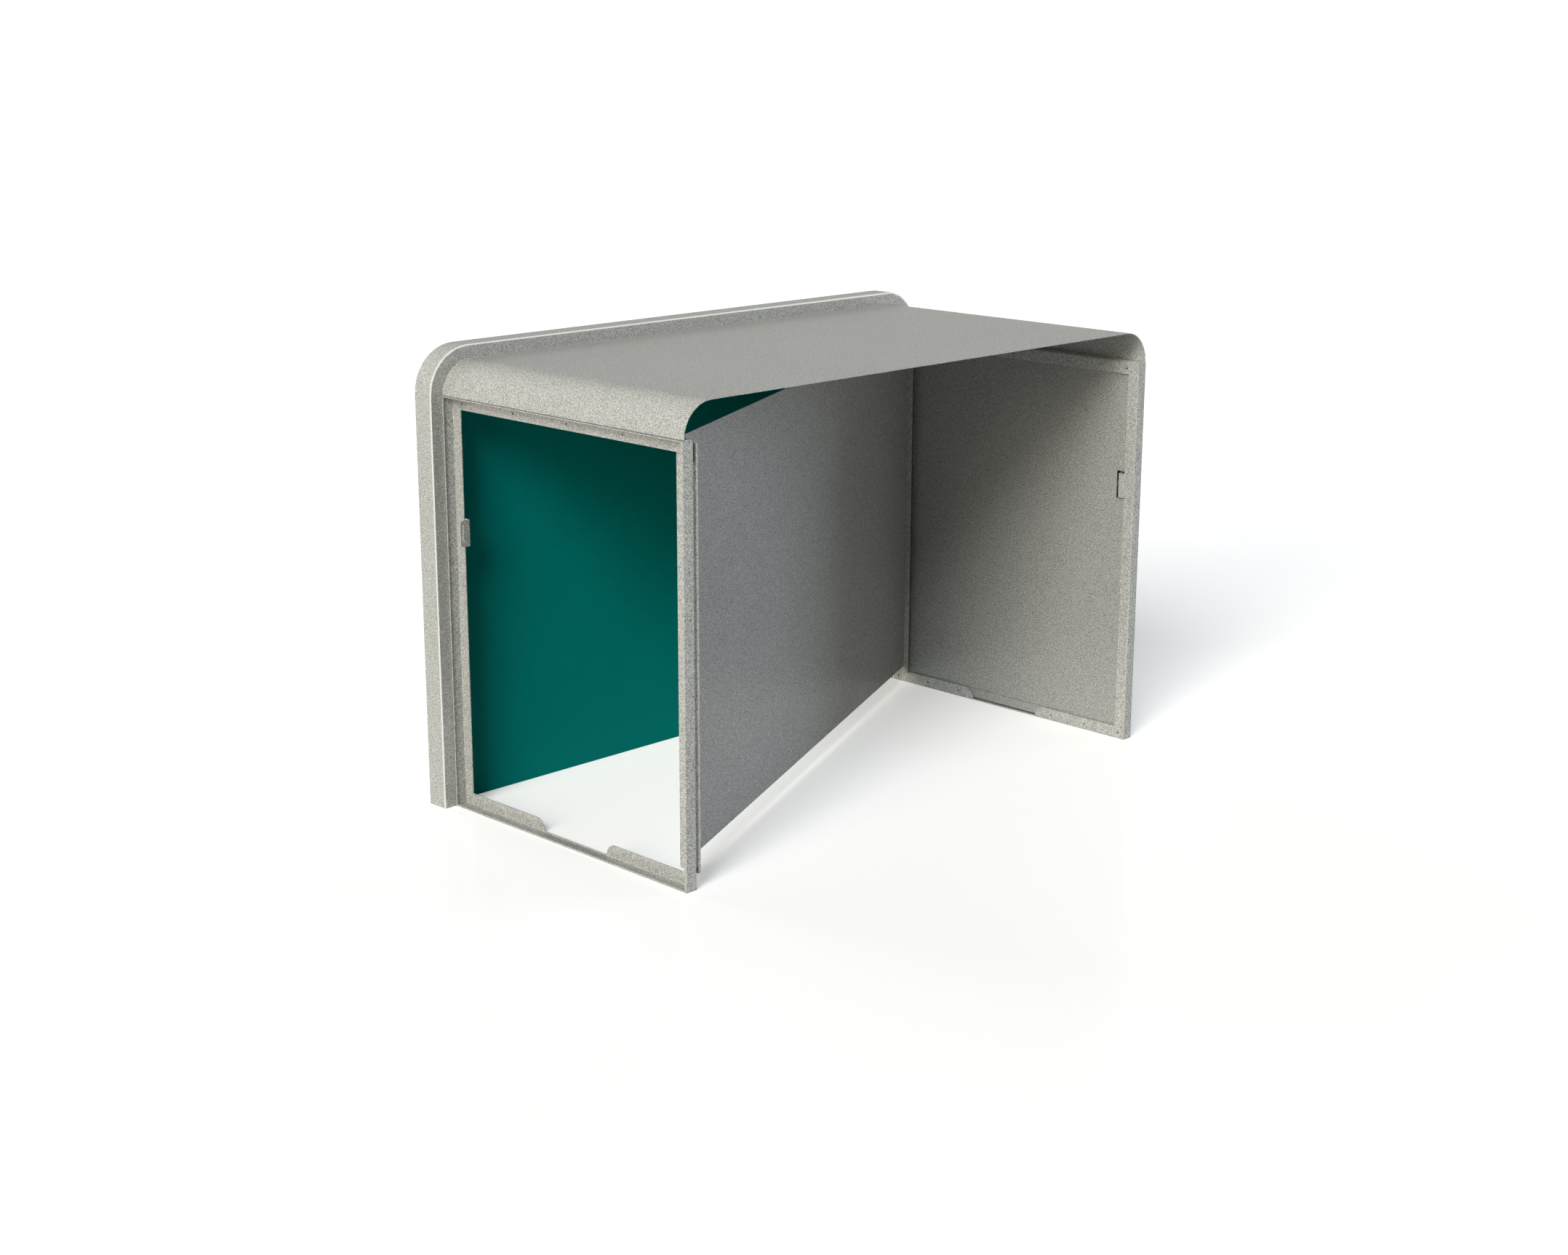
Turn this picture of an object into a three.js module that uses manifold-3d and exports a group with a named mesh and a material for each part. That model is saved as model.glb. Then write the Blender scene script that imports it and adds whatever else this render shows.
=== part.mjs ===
// Two-person cycle locker: one bay with a folded roof, two end frames, a diagonal partition,
// a side hoop with an infill panel, and one hinged door at the right end.
// Millimetres, Z up, X along the locker, the open long side towards -Y.
// The origin is on the floor under the middle of the whole locker.

import * as THREE from 'three';
import { mergeVertices } from 'three/addons/utils/BufferGeometryUtils.js';
import Module from 'manifold-3d';

const wasm = await Module();
wasm.setup();

// General values
const OVERRUN = 5;
const SEAT_GAP = 0.3;
const BORE_CLEARANCE = 0.1;
const BEND_RADIUS = 1.5;
const BEND_STEPS = 3;
const ROUNDED_TURN = THREE.MathUtils.degToRad(30);
const ROUND_SEGMENTS = 32;
const ARC_STEPS = 10;

// End frames
const LOCKER_LENGTH = 2000;
const FRAME_WIDTH = 1021;
const FRAME_HEIGHT = 1246;
const FRAME_DEPTH = 40;
const FRAME_SHEET = 2.5;
const STOP_WIDTH = 38;
const HEAD_DROP = 40;
const SILL_UPSTAND = 40;
const LIP_WIDTH = 7;
const FRAME_HOLE_RADIUS = 3.5;
const HEAD_HOLES = 5;
const HEAD_HOLE_MARGIN = 44.5;
const HEAD_HOLE_DROP = 22;
const SILL_HOLES_EACH_SIDE = 3;
const SILL_HOLE_MARGIN = 23.5;
const SILL_HOLE_GAP_INSET = 67;
const SILL_HOLE_HEIGHT = 19;
const WHEEL_GAP_WIDTH = 276;
const WHEEL_GAP_SILL = 5;

// Hinges and the cut-outs for them in the lip of the hinge jamb
const HINGE_CUTOUT = 151;
const LOWER_HINGE_FOOT = 99.5;
const UPPER_HINGE_DROP = 92.5;
const HINGE_LENGTH = 148;
const HINGE_KNUCKLES = 3;
const HINGE_LEAF = 2.5;
const HINGE_LEAF_GAP = 1.5;
const HINGE_LEAF_WIDTH = 28;
const HINGE_AXIS_STANDOUT = 3.5;
const KNUCKLE_RADIUS = 4;
const KNUCKLE_CLEARANCE = 0.5;
const HINGE_PIN_RADIUS = 2;

// Roof
const ROOF_SHEET = 2;
const ROOF_RADIUS = 100;
const ROOF_INSET = 4.5;
const ROOF_RETURN = 25;
const ROOF_BEND_STEPS = 7;

// Side hoop with its infill
const HOOP_DEPTH = 76;
const HOOP_WIDTH = 80;
const HOOP_WALL = 3;
const HOOP_STANDOUT = 40;
const HOOP_RADIUS = 140;
const HOOP_EDGE_RADIUS = 4;
const INFILL_RECESS = 38.5;
const INFILL_SHEET = 2;
const STOP_STRIP_WIDTH = 15;
const STOP_STRIP_THICKNESS = 5;

// Partition with the plates that carry its ends
const PARTITION_SHEET = 2;
const PARTITION_FOOT = 62;
const PARTITION_HEAD_RISE = 2;
const PARTITION_FOLD = 25;
const PARTITION_FOLD_NOTCH = 20;
const PARTITION_EDGE_INSET = 59.5;
const END_PLATE_WIDTH = 80;
const END_PLATE_SHEET = 2.5;
const END_PLATE_FOOT = 43;
const END_PLATE_HEAD_DROP = 10;
const SPACER_THICKNESS = 12;
const SPACER_WIDTH = 25;
const SPACER_SET_IN = 7;
const SPACER_END_INSET = 20;

// Door
const DOOR_SHEET = 2;
const DOOR_THICKNESS = 30;
const DOOR_FACE_INSET = 2;
const DOOR_FOOT_GAP = 3;
const DOOR_HEAD_GAP = 2.5;
const CLOSING_PLATE_SHEET = 3;
const CLOSING_PLATE_WIDTH = 360;

// Keeper, a bent bracket whose slotted leg stands into the door
const LOCK_HEIGHT = 846;
const KEEPER_SHEET = 3;
const KEEPER_HEIGHT = 78;
const KEEPER_REACH = 60.5;
const KEEPER_EDGE_INSET = 3.5;
const KEEPER_LEG = 36.5;
const KEEPER_CORNER_RADIUS = 11;
const KEEPER_SLOT_WIDTH = 5;
const KEEPER_SLOT_HEIGHT = 54;
const KEEPER_CUTOUT_BELOW = 13.5;
const KEEPER_CUTOUT_ABOVE = 13;
const KEEPER_CUTOUT_MARGIN = 6;

// Lock, with its spindle across the door
const LOCK_BACKSET = 30;
const CAM_PLANE_INSET = 15.5;
const CAM_THICKNESS = 3;
const CAM_WIDTH = 22;
const CAM_REACH = 37.5;
const SPINDLE_RADIUS = 6;
const SPINDLE_STUB_RADIUS = 4;
const SPINDLE_STUB_LENGTH = 12;
const SPINDLE_HOLE_RADIUS = 7;
const CAM_NUT_SIDES = 6;
const CAM_NUT_RADIUS = 9;
const CAM_NUT_THICKNESS = 6;
const HOUSING_RADIUS = 16;
const HOUSING_CAM_GAP = 1;
const ROSE_RADIUS = 25;
const ROSE_THICKNESS = 4;
const ROSE_EDGE = 1.5;
const HANDLE_BOSS_RADIUS = 15;
const HANDLE_STANDOUT = 34;
const HANDLE_LENGTH = 96;
const HANDLE_GRIP_WIDTH = 18;
const HANDLE_GRIP_DEPTH = 16;
const HANDLE_EDGE = 2;
const HANDLE_SOCKET_DEPTH = 12;
const CORE_RADIUS = 9;
const CORE_DEPTH = 14;
const CORE_STANDOUT = 0.8;
const KEYWAY_WIDTH = 2.4;
const KEYWAY_HEIGHT = 9;
const KEYWAY_DEPTH = 5;

// Places worked out from the sizes above, seen from the outer plane of an end frame
const halfWidth = FRAME_WIDTH / 2;
const webInside = halfWidth - FRAME_SHEET;
const stopEdge = halfWidth - STOP_WIDTH;
const lipEdge = halfWidth - LIP_WIDTH;
const frameInside = -FRAME_DEPTH;
const stopOutside = frameInside + FRAME_SHEET;
const bendInside = FRAME_SHEET + BEND_RADIUS;
const upperHingeFoot = FRAME_HEIGHT - UPPER_HINGE_DROP - HINGE_CUTOUT;
const hingeAxisX = HINGE_AXIS_STANDOUT;
const hingeAxisY = webInside - HINGE_LEAF - HINGE_LEAF_GAP / 2;
const doorHalfWidth = webInside - HINGE_LEAF * 2 - HINGE_LEAF_GAP;
const doorFoot = LIP_WIDTH + DOOR_FOOT_GAP;
const doorTop = FRAME_HEIGHT - FRAME_SHEET - DOOR_HEAD_GAP;
const doorFace = -DOOR_FACE_INSET;
const skinInside = doorFace - DOOR_SHEET;
const doorInside = doorFace - DOOR_THICKNESS;
const innerSheetOutside = doorInside + DOOR_SHEET;
const keeperLegY = KEEPER_REACH - halfWidth;
const keeperSlotX = -CAM_PLANE_INSET;
const lockY = keeperLegY - KEEPER_SHEET / 2 + LOCK_BACKSET;
const camInside = -CAM_PLANE_INSET - CAM_THICKNESS / 2;
const camOutside = camInside + CAM_THICKNESS;
const plateOutside = frameInside - SPACER_THICKNESS;
const plateInside = plateOutside - END_PLATE_SHEET;

const endPlateTop = FRAME_HEIGHT - END_PLATE_HEAD_DROP;
const partitionTop = FRAME_HEIGHT + PARTITION_HEAD_RISE;

// Places seen from the middle of the locker
const halfLength = LOCKER_LENGTH / 2;
const hoopNear = halfWidth;
const hoopFar = hoopNear + HOOP_DEPTH;
const hoopHalfWidth = halfLength + HOOP_STANDOUT;
const hoopTop = FRAME_HEIGHT + ROOF_RADIUS + HOOP_STANDOUT;
const infillNear = hoopNear + INFILL_RECESS;
const infillFar = infillNear + INFILL_SHEET;

// Finishes
const galvanised = { color: 0xb9b9b2, roughness: 0.55, metalness: 0.55 };
const tealPaint = { color: 0x00554f, roughness: 0.6, metalness: 0.0 };
const platedSteel = { color: 0xa8abad, roughness: 0.4, metalness: 0.8 };
const castHandle = { color: 0x8f9294, roughness: 0.35, metalness: 0.85 };

// Turns a closed geometry into a solid that can be cut and joined.
function solid(geometry) {
  const bare = geometry.clone();
  bare.deleteAttribute('normal');
  bare.deleteAttribute('uv');
  const merged = mergeVertices(bare);
  return new wasm.Manifold(new wasm.Mesh({
    numProp: 3,
    vertProperties: new Float32Array(merged.attributes.position.array),
    triVerts: new Uint32Array(merged.index.array),
  }));
}

// Turns a solid back into a geometry.
function geometryOf(body) {
  const cut = body.getMesh();
  const geometry = new THREE.BufferGeometry();
  geometry.setAttribute('position', new THREE.BufferAttribute(cut.vertProperties, cut.numProp));
  geometry.setIndex(new THREE.BufferAttribute(cut.triVerts, 1));
  const flat = geometry.toNonIndexed();
  flat.computeVertexNormals();
  return flat;
}

// Joins the added shapes to a body and then takes the cut shapes out of it.
function shaped(body, added, cuts) {
  let result = solid(body);
  for (const piece of added) {
    result = result.add(solid(piece));
  }
  for (const tool of cuts) {
    result = result.subtract(solid(tool));
  }
  return geometryOf(result);
}

function piece(name, geometry, finish) {
  const mesh = new THREE.Mesh(geometry, new THREE.MeshStandardMaterial(finish));
  mesh.name = name;
  return mesh;
}

// Places spread evenly from the first to the last, both among them.
function spread(first, last, count) {
  return Array.from({ length: count }, (_, i) => first + (last - first) * i / Math.max(count - 1, 1));
}

// A block between two places on each axis.
function block([x0, x1], [y0, y1], [z0, z1]) {
  const geometry = new THREE.BoxGeometry(x1 - x0, y1 - y0, z1 - z0);
  return geometry.translate((x0 + x1) / 2, (y0 + y1) / 2, (z0 + z1) / 2);
}

// A round bar along X or Z between two places, round the point given on the other two axes.
function barX(radius, [x0, x1], y, z, segments = ROUND_SEGMENTS) {
  const geometry = new THREE.CylinderGeometry(radius, radius, x1 - x0, segments);
  return geometry.rotateZ(-Math.PI / 2).translate((x0 + x1) / 2, y, z);
}

function barZ(radius, x, y, [z0, z1], segments = ROUND_SEGMENTS) {
  const geometry = new THREE.CylinderGeometry(radius, radius, z1 - z0, segments);
  return geometry.rotateX(Math.PI / 2).translate(x, y, (z0 + z1) / 2);
}

// Pulls an outline along an axis. It is drawn in y and z for X, in x and z for Y, in x and y for Z.
function pulled(outline, axis, [from, to], edge = 0) {
  const shape = outline.isShape ? outline : new THREE.Shape(outline);
  const geometry = new THREE.ExtrudeGeometry(shape, {
    depth: to - from - edge * 2,
    curveSegments: ARC_STEPS,
    bevelEnabled: edge > 0,
    bevelThickness: edge,
    bevelSize: edge,
    bevelOffset: -edge,
    bevelSegments: BEND_STEPS,
  });
  geometry.translate(0, 0, edge);
  if (axis === 'x') {
    geometry.applyMatrix4(new THREE.Matrix4().set(0, 0, 1, from, 1, 0, 0, 0, 0, 1, 0, 0, 0, 0, 0, 1));
  } else if (axis === 'y') {
    geometry.applyMatrix4(new THREE.Matrix4().set(1, 0, 0, 0, 0, 0, -1, to, 0, 1, 0, 0, 0, 0, 0, 1));
  } else {
    geometry.translate(0, 0, from);
  }
  return geometry;
}

// Points on an arc round a centre, between two angles in radians.
function arcPoints(x, y, radius, start, end, steps) {
  return Array.from({ length: steps + 1 }, (_, i) => {
    const angle = start + (end - start) * i / steps;
    return new THREE.Vector2(x + radius * Math.cos(angle), y + radius * Math.sin(angle));
  });
}

// The outline of a folded sheet, from the line of one face and the sheet's thickness, which is
// positive on the left of that line. Sharp turns become bends, and slight ones stay facets.
function foldedOutline(face, sheet) {
  const points = face.map((p) => (p.isVector2 ? p : new THREE.Vector2(p[0], p[1])));
  const directions = points.slice(1).map((p, i) => p.clone().sub(points[i]).normalize());
  const leftOf = (v) => new THREE.Vector2(-v.y, v.x);
  const nearSide = [];
  const farSide = [];
  points.forEach((point, i) => {
    const before = directions[Math.max(i - 1, 0)];
    const after = directions[Math.min(i, directions.length - 1)];
    const turn = Math.atan2(before.cross(after), before.dot(after));
    const middle = leftOf(before.clone().add(after).normalize());
    const reach = 1 / Math.cos(turn / 2);
    if (Math.abs(turn) < ROUNDED_TURN) {
      nearSide.push(point);
      farSide.push(point.clone().addScaledVector(middle, sheet * reach));
      return;
    }
    const way = Math.sign(turn);
    const sheetInside = way === Math.sign(sheet);
    const outer = BEND_RADIUS + Math.abs(sheet);
    const nearRadius = sheetInside ? outer : BEND_RADIUS;
    const farRadius = sheetInside ? BEND_RADIUS : outer;
    const centre = point.clone().addScaledVector(middle, way * nearRadius * reach);
    for (let k = 0; k <= BEND_STEPS; k += 1) {
      const heading = before.clone().rotateAround(new THREE.Vector2(), turn * k / BEND_STEPS);
      const normal = leftOf(heading);
      nearSide.push(centre.clone().addScaledVector(normal, -way * nearRadius));
      farSide.push(centre.clone().addScaledVector(normal, -way * farRadius));
    }
  });
  return nearSide.concat(farSide.reverse());
}

// Roof: one sheet, its ends pressed round in flats, with a return that lies on each frame's head
function makeRoof() {
  const edge = halfLength - ROOF_INSET;
  const bendCentre = edge - ROOF_RADIUS;
  const quarter = Math.PI / 2;
  const left = arcPoints(-bendCentre, FRAME_HEIGHT, ROOF_RADIUS, quarter * 2, quarter, ROOF_BEND_STEPS);
  const right = arcPoints(bendCentre, FRAME_HEIGHT, ROOF_RADIUS, quarter, 0, ROOF_BEND_STEPS);
  const leftReturn = [ROOF_RETURN - edge, FRAME_HEIGHT];
  const rightReturn = [edge - ROOF_RETURN, FRAME_HEIGHT];
  const outline = foldedOutline([leftReturn, ...left, ...right, rightReturn], -ROOF_SHEET);
  return piece('roof_sheet', pulled(outline, 'y', [-halfWidth, halfWidth]), galvanised);
}

// The outer boundary of an arch that stands on the floor, drawn in x and z from the left foot up.
function archPoints(inset, foot) {
  const half = hoopHalfWidth - inset;
  const top = hoopTop - inset;
  const radius = HOOP_RADIUS - inset;
  return [
    new THREE.Vector2(-half, foot),
    ...arcPoints(radius - half, top - radius, radius, Math.PI, Math.PI / 2, ARC_STEPS),
    ...arcPoints(half - radius, top - radius, radius, Math.PI / 2, 0, ARC_STEPS),
    new THREE.Vector2(half, foot),
  ];
}

function archOutline(outerInset, innerInset, foot) {
  return archPoints(outerInset, foot).concat(archPoints(innerInset, foot).reverse());
}

// Side hoop: a hollow square arch, open at its feet
function makeHoop() {
  const arch = pulled(archOutline(0, HOOP_WIDTH, -OVERRUN), 'y', [hoopNear, hoopFar], HOOP_EDGE_RADIUS);
  const hollowOutline = archOutline(HOOP_WALL, HOOP_WIDTH - HOOP_WALL, -OVERRUN * 2);
  const hollow = pulled(hollowOutline, 'y', [hoopNear + HOOP_WALL, hoopFar - HOOP_WALL]);
  const reach = hoopHalfWidth + OVERRUN;
  const below = block([-reach, reach], [hoopNear - OVERRUN, hoopFar + OVERRUN], [-OVERRUN * 2, 0]);
  return piece('side_hoop', shaped(arch, [], [hollow, below]), galvanised);
}

function makeInfill() {
  const inset = HOOP_WIDTH + SEAT_GAP;
  const panel = pulled(archPoints(inset, 0), 'y', [infillNear, infillFar]);
  const stripOutline = archOutline(inset, inset + STOP_STRIP_WIDTH, 0);
  const strip = pulled(stripOutline, 'y', [infillFar, infillFar + STOP_STRIP_THICKNESS]);
  return [
    piece('infill_panel', panel, tealPaint),
    piece('infill_stop_strip', strip, galvanised),
  ];
}

// Partition: one sheet across the bay with a fold at each end, flat on that end's plate
function makePartition() {
  const x = halfLength + plateInside;
  const y = halfWidth - PARTITION_EDGE_INSET;
  const right = [[x, y + PARTITION_FOLD], [x, y]];
  const left = [[PARTITION_SHEET - x, -y], [PARTITION_SHEET - x, -y - PARTITION_FOLD]];
  const outline = foldedOutline([...right, ...left], -PARTITION_SHEET);
  const sheet = pulled(outline, 'z', [PARTITION_FOOT, partitionTop]);
  const foldStart = y + BEND_RADIUS + PARTITION_SHEET;
  const foldEnd = y + PARTITION_FOLD + OVERRUN;
  const notch = [partitionTop - PARTITION_FOLD_NOTCH, partitionTop + OVERRUN];
  const cuts = [
    block([x - OVERRUN, x + OVERRUN], [foldStart, foldEnd], notch),
    block([-x - OVERRUN, OVERRUN - x], [-foldEnd, -foldStart], notch),
  ];
  return piece('partition_sheet', shaped(sheet, [], cuts), galvanised);
}

// A jamb: web, stop flange and lip, with its flange and lip cut back for the sill and the head
function makeJamb(name, way, cutouts) {
  const face = [[0, lipEdge], [0, halfWidth], [frameInside, halfWidth], [frameInside, stopEdge]];
  const section = face.map(([x, y]) => [x, y * way]);
  const jamb = pulled(foldedOutline(section, FRAME_SHEET * way), 'z', [0, FRAME_HEIGHT]);
  const inner = [stopEdge - OVERRUN, webInside].map((y) => y * way).sort((a, b) => a - b);
  const flange = [frameInside - OVERRUN, frameInside + bendInside];
  const lip = [-bendInside, OVERRUN];
  const cuts = [
    block(flange, inner, [-OVERRUN, SILL_UPSTAND + SEAT_GAP]),
    block(flange, inner, [FRAME_HEIGHT - HEAD_DROP - SEAT_GAP, FRAME_HEIGHT + OVERRUN]),
    block(lip, inner, [-OVERRUN, LIP_WIDTH + SEAT_GAP]),
    block(lip, inner, [FRAME_HEIGHT - FRAME_SHEET - SEAT_GAP, FRAME_HEIGHT + OVERRUN]),
    ...cutouts.map((foot) => block(lip, inner, [foot, foot + HINGE_CUTOUT])),
  ];
  return piece(name, shaped(jamb, [], cuts), galvanised);
}

// Sill: floor web, lip and an upstand that is cut away, with round ends, where the wheels pass
function makeSill(name) {
  const ends = [SEAT_GAP - webInside, webInside - SEAT_GAP];
  const face = [[0, LIP_WIDTH], [0, 0], [frameInside, 0], [frameInside, SILL_UPSTAND]];
  const sill = pulled(foldedOutline(face, -FRAME_SHEET), 'y', ends);
  const radius = SILL_UPSTAND - WHEEL_GAP_SILL;
  const centre = WHEEL_GAP_WIDTH / 2 + radius;
  const top = SILL_UPSTAND + OVERRUN;
  const gap = [
    new THREE.Vector2(-centre, top),
    ...arcPoints(-centre, WHEEL_GAP_SILL, radius, Math.PI / 2, 0, ARC_STEPS),
    ...arcPoints(centre, WHEEL_GAP_SILL, radius, Math.PI, Math.PI / 2, ARC_STEPS),
    new THREE.Vector2(centre, top),
  ];
  const through = [frameInside - OVERRUN, frameInside + bendInside];
  const cuts = [pulled(gap, 'x', through)];
  const firstHole = WHEEL_GAP_WIDTH / 2 + SILL_HOLE_GAP_INSET;
  for (const distance of spread(firstHole, halfWidth - SILL_HOLE_MARGIN, SILL_HOLES_EACH_SIDE)) {
    for (const y of [-distance, distance]) {
      cuts.push(barX(FRAME_HOLE_RADIUS, through, y, SILL_HOLE_HEIGHT, ARC_STEPS));
    }
  }
  return piece(name, shaped(sill, [], cuts), galvanised);
}

function makeHead(name) {
  const ends = [SEAT_GAP - webInside, webInside - SEAT_GAP];
  const face = [[0, FRAME_HEIGHT], [frameInside, FRAME_HEIGHT], [frameInside, FRAME_HEIGHT - HEAD_DROP]];
  const head = pulled(foldedOutline(face, FRAME_SHEET), 'y', ends);
  const through = [frameInside - OVERRUN, stopOutside + OVERRUN];
  const lastHole = halfWidth - HEAD_HOLE_MARGIN;
  const cuts = spread(-lastHole, lastHole, HEAD_HOLES).map((y) => (
    barX(FRAME_HOLE_RADIUS, through, y, FRAME_HEIGHT - HEAD_HOLE_DROP, ARC_STEPS)
  ));
  return piece(name, shaped(head, [], cuts), galvanised);
}

// Keeper: one leg on the stop flange of the lock jamb, the slotted leg standing into the door
function makeKeeper(name) {
  const back = frameInside - KEEPER_SHEET;
  const tip = back + KEEPER_LEG;
  const low = LOCK_HEIGHT - KEEPER_HEIGHT / 2;
  const high = LOCK_HEIGHT + KEEPER_HEIGHT / 2;
  const face = [[back, KEEPER_EDGE_INSET - halfWidth], [back, keeperLegY], [tip, keeperLegY]];
  const bracket = pulled(foldedOutline(face, -KEEPER_SHEET), 'z', [low, high]);
  const across = [keeperLegY - KEEPER_SHEET - OVERRUN, keeperLegY + OVERRUN];
  const slotX = [keeperSlotX - KEEPER_SLOT_WIDTH / 2, keeperSlotX + KEEPER_SLOT_WIDTH / 2];
  const slotZ = [LOCK_HEIGHT - KEEPER_SLOT_HEIGHT / 2, LOCK_HEIGHT + KEEPER_SLOT_HEIGHT / 2];
  const r = KEEPER_CORNER_RADIUS;
  const over = tip + OVERRUN;
  const upperCorner = [
    ...arcPoints(tip - r, high - r, r, 0, Math.PI / 2, ARC_STEPS),
    new THREE.Vector2(tip - r, high + OVERRUN),
    new THREE.Vector2(over, high + OVERRUN),
    new THREE.Vector2(over, high - r),
  ];
  const lowerCorner = upperCorner.map((p) => new THREE.Vector2(p.x, LOCK_HEIGHT * 2 - p.y));
  const cuts = [
    block(slotX, across, slotZ),
    pulled(upperCorner, 'y', across),
    pulled(lowerCorner, 'y', across),
  ];
  return piece(name, shaped(bracket, [], cuts), galvanised);
}

// The plate beside the hinge jamb that carries the partition, stood off on a bar
function makePartitionSeat(side) {
  const y = [halfWidth - END_PLATE_WIDTH, halfWidth];
  const plate = block([plateInside, plateOutside], y, [END_PLATE_FOOT, endPlateTop]);
  const barOuter = halfWidth - SPACER_SET_IN;
  const barEnds = [SILL_UPSTAND + SPACER_END_INSET, FRAME_HEIGHT - HEAD_DROP - SPACER_END_INSET];
  const bar = block([plateOutside, frameInside], [barOuter - SPACER_WIDTH, barOuter], barEnds);
  return [
    piece(`${side}_end_plate`, plate, galvanised),
    piece(`${side}_spacer_bar`, bar, galvanised),
  ];
}

// One end frame with its keeper and its partition seat; hinge side towards +Y, outside towards +X
function makeEndFrame(side) {
  const group = new THREE.Group();
  group.add(
    makeJamb(`${side}_hinge_jamb`, 1, [LOWER_HINGE_FOOT, upperHingeFoot]),
    makeJamb(`${side}_lock_jamb`, -1, []),
    makeSill(`${side}_sill`),
    makeHead(`${side}_head`),
    makeKeeper(`${side}_keeper`),
    ...makePartitionSeat(side),
  );
  return group;
}

// A hinge: a leaf on the jamb with two knuckles, a leaf on the door with one, and the pin
function makeHinge(name, cutoutFoot) {
  const foot = cutoutFoot + (HINGE_CUTOUT - HINGE_LENGTH) / 2;
  const joints = spread(foot, foot + HINGE_LENGTH, HINGE_KNUCKLES + 1);
  const whole = [foot, foot + HINGE_LENGTH];
  const frameKnuckles = [0, HINGE_KNUCKLES - 1];
  const doorKnuckles = spread(1, HINGE_KNUCKLES - 2, HINGE_KNUCKLES - 2);
  const gap = SEAT_GAP / 2;
  const room = KNUCKLE_RADIUS + KNUCKLE_CLEARANCE;

  const knuckle = (i) => {
    const low = joints[i] + (i > 0 ? gap : 0);
    const high = joints[i + 1] - (i < HINGE_KNUCKLES - 1 ? gap : 0);
    return barZ(KNUCKLE_RADIUS, hingeAxisX, hingeAxisY, [low, high]);
  };
  const clear = (i) => {
    const low = joints[i] - (i > 0 ? 0 : OVERRUN);
    const high = joints[i + 1] + (i < HINGE_KNUCKLES - 1 ? 0 : OVERRUN);
    return block([hingeAxisX - room, hingeAxisX + room], [hingeAxisY - room, hingeAxisY + room], [low, high]);
  };
  const bore = barZ(HINGE_PIN_RADIUS + BORE_CLEARANCE, hingeAxisX, hingeAxisY,
    [foot - OVERRUN, foot + HINGE_LENGTH + OVERRUN]);
  const leaf = (from, own, others) => {
    const plate = block([-HINGE_LEAF_WIDTH, hingeAxisX], [from, from + HINGE_LEAF], whole);
    return shaped(shaped(plate, [], others.map(clear)), own.map(knuckle), [bore]);
  };
  const frameLeaf = leaf(webInside - HINGE_LEAF, frameKnuckles, doorKnuckles);
  const doorLeaf = leaf(doorHalfWidth, doorKnuckles, frameKnuckles);
  const pin = barZ(HINGE_PIN_RADIUS, hingeAxisX, hingeAxisY, whole);
  return {
    fixed: [
      piece(`${name}_hinge_frame_leaf`, frameLeaf, platedSteel),
      piece(`${name}_hinge_pin`, pin, platedSteel),
    ],
    moving: [piece(`${name}_hinge_door_leaf`, doorLeaf, platedSteel)],
  };
}

// Door: a folded tray as the outer skin, a flat inner sheet, and a plate over the wheel gap
function makeDoor() {
  const y = [-doorHalfWidth, doorHalfWidth];
  const face = [[innerSheetOutside, y[0]], [doorFace, y[0]], [doorFace, y[1]], [innerSheetOutside, y[1]]];
  const skin = pulled(foldedOutline(face, DOOR_SHEET), 'z', [doorFoot, doorTop]);
  const returnX = [innerSheetOutside, skinInside + DOOR_SHEET / 2];
  const inside = [y[0] + DOOR_SHEET / 2, y[1] - DOOR_SHEET / 2];
  const footReturn = block(returnX, inside, [doorFoot, doorFoot + DOOR_SHEET]);
  const headReturn = block(returnX, inside, [doorTop - DOOR_SHEET, doorTop]);
  const holeEnds = [skinInside - OVERRUN, doorFace + OVERRUN];
  const spindleHole = barX(SPINDLE_HOLE_RADIUS, holeEnds, lockY, LOCK_HEIGHT);
  const tray = shaped(skin, [footReturn, headReturn], [spindleHole]);
  const innerSheet = block([doorInside, innerSheetOutside], y, [doorFoot, doorTop]);
  const keeperLow = keeperLegY - KEEPER_SHEET - KEEPER_CUTOUT_BELOW;
  const keeperHigh = keeperLegY + KEEPER_CUTOUT_ABOVE;
  const cutHeight = KEEPER_HEIGHT / 2 + KEEPER_CUTOUT_MARGIN;
  const keeperCutout = block([doorInside - OVERRUN, innerSheetOutside + OVERRUN],
    [keeperLow, keeperHigh], [LOCK_HEIGHT - cutHeight, LOCK_HEIGHT + cutHeight]);
  const closing = block([doorInside - CLOSING_PLATE_SHEET, doorInside],
    [-CLOSING_PLATE_WIDTH / 2, CLOSING_PLATE_WIDTH / 2], [doorFoot, SILL_UPSTAND]);
  return [
    piece('door_tray', tray, galvanised),
    piece('door_inner_sheet', shaped(innerSheet, [], [keeperCutout]), galvanised),
    piece('door_closing_plate', closing, galvanised),
  ];
}

// The revolved parts of the lock are drawn as radius against place along the spindle.
function turnedOnSpindle(profile) {
  const points = profile.map(([radius, x]) => new THREE.Vector2(radius, x));
  const geometry = new THREE.LatheGeometry([...points, points[0]], ROUND_SEGMENTS);
  return geometry.rotateZ(-Math.PI / 2).translate(0, lockY, LOCK_HEIGHT);
}

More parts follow.
